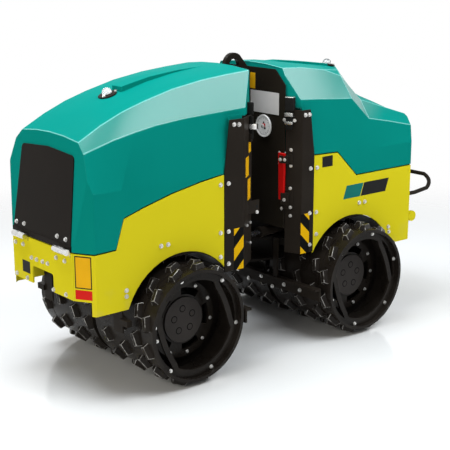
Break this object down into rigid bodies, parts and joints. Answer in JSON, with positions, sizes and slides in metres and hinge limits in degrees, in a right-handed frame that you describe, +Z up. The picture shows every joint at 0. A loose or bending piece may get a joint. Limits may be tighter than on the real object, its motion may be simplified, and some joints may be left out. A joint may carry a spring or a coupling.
{
  "type": "trench roller",
  "caption": "Articulated walk-behind trench roller with padfoot drums, two tilting hoods, a roll and steering joint with cylinder, scrapers, guard tube and lifting eye.",
  "frame": {"origin": "on the ground under the middle of the overall length and width; the steering pin stands 65.75 mm ahead of it", "axes": "+X forward along the machine towards the front unit, +Y to its left, +Z up"},
  "size_m": [2.1285, 0.85, 1.3057],
  "materials": {
    "teal": "gloss",
    "yellow": "gloss",
    "black": "satin",
    "cast": "matt",
    "steel": "satin",
    "red": "gloss",
    "white": "gloss",
    "clear": "clear"
  },
  "bodies": {
    "front_frame": {"front_axle_carrier": "cast", "front_deck": "black", "front_end_plate": "yellow", "front_side_left": "yellow", "front_side_right": "yellow", "front_pillar_left": "black", "front_pillar_right": "black", "front_scraper_inner": "black", "front_scraper_outer": "black", "front_bulkhead": "black", "front_cross_beam": "cast", "engine": "cast"},
    "front_drum": {"front_axle": "cast", "front_drum_left": "cast", "front_drum_right": "cast"},
    "front_hood": {"front_hood": "teal", "front_hood_panel": "black", "front_sensor_base": "black", "front_sensor_dome": "clear"},
    "centre_link": {"centre_link": "cast"},
    "rear_frame": {"rear_axle_carrier": "cast", "rear_deck": "black", "rear_end_plate": "yellow", "rear_side_left": "yellow", "rear_side_right": "yellow", "rear_pillar_left": "black", "rear_pillar_right": "black", "rear_scraper_inner": "black", "rear_scraper_outer": "black", "rear_bulkhead": "black", "rear_cross_beam": "cast", "steering_pin": "steel", "cylinder_bracket": "black", "rear_guard": "black", "rear_dial": "white", "lock_bar": "red"},
    "rear_drum": {"rear_axle": "cast", "rear_drum_left": "cast", "rear_drum_right": "cast"},
    "rear_hood": {"rear_hood": "teal", "rear_hinge_plate": "teal", "rear_sensor_base": "black", "rear_sensor_dome": "clear"},
    "steering_barrel": {"steering_barrel": "black"},
    "steering_rod": {"steering_rod": "steel"}
  },
  "joints": [
    {"name": "roll", "type": "hinge", "parent": "front_frame", "child": "centre_link", "pos_m": [0.06575, 0, 0.4], "axis": [1, 0, 0], "range_deg": [-8, 8]},
    {"name": "steering", "type": "hinge", "parent": "centre_link", "child": "rear_frame", "pos_m": [0.06575, 0, 0.4], "axis": [0, 0, 1], "range_deg": [-30, 30]},
    {"name": "front_drum_turn", "type": "hinge", "parent": "front_frame", "child": "front_drum", "pos_m": [0.56175, 0, 0.26], "axis": [0, 1, 0], "continuous": true},
    {"name": "rear_drum_turn", "type": "hinge", "parent": "rear_frame", "child": "rear_drum", "pos_m": [-0.43025, 0, 0.26], "axis": [0, 1, 0], "continuous": true},
    {"name": "front_hood_lift", "type": "hinge", "parent": "front_frame", "child": "front_hood", "pos_m": [1.05175, 0, 0.617], "axis": [0, 1, 0], "range_deg": [0, 65]},
    {"name": "rear_hood_lift", "type": "hinge", "parent": "rear_frame", "child": "rear_hood", "pos_m": [-0.91825, 0, 0.722], "axis": [0, -1, 0], "range_deg": [0, 65]},
    {"name": "cylinder_swing", "type": "hinge", "parent": "rear_frame", "child": "steering_barrel", "pos_m": [-0.23425, 0.1, 0.495], "axis": [0, 0, 1], "range_deg": [-6, 6]},
    {"name": "cylinder_stroke", "type": "slide", "parent": "steering_barrel", "child": "steering_rod", "axis": [0.9956, 0.0933, 0], "range_m": [-0.07, 0.07]}
  ],
  "couplings": [
    {"joint": "cylinder_swing", "follows": "steering", "ratio": -0.079},
    {"joint": "cylinder_stroke", "follows": "steering", "m_per_rad": 0.1232}
  ]
}
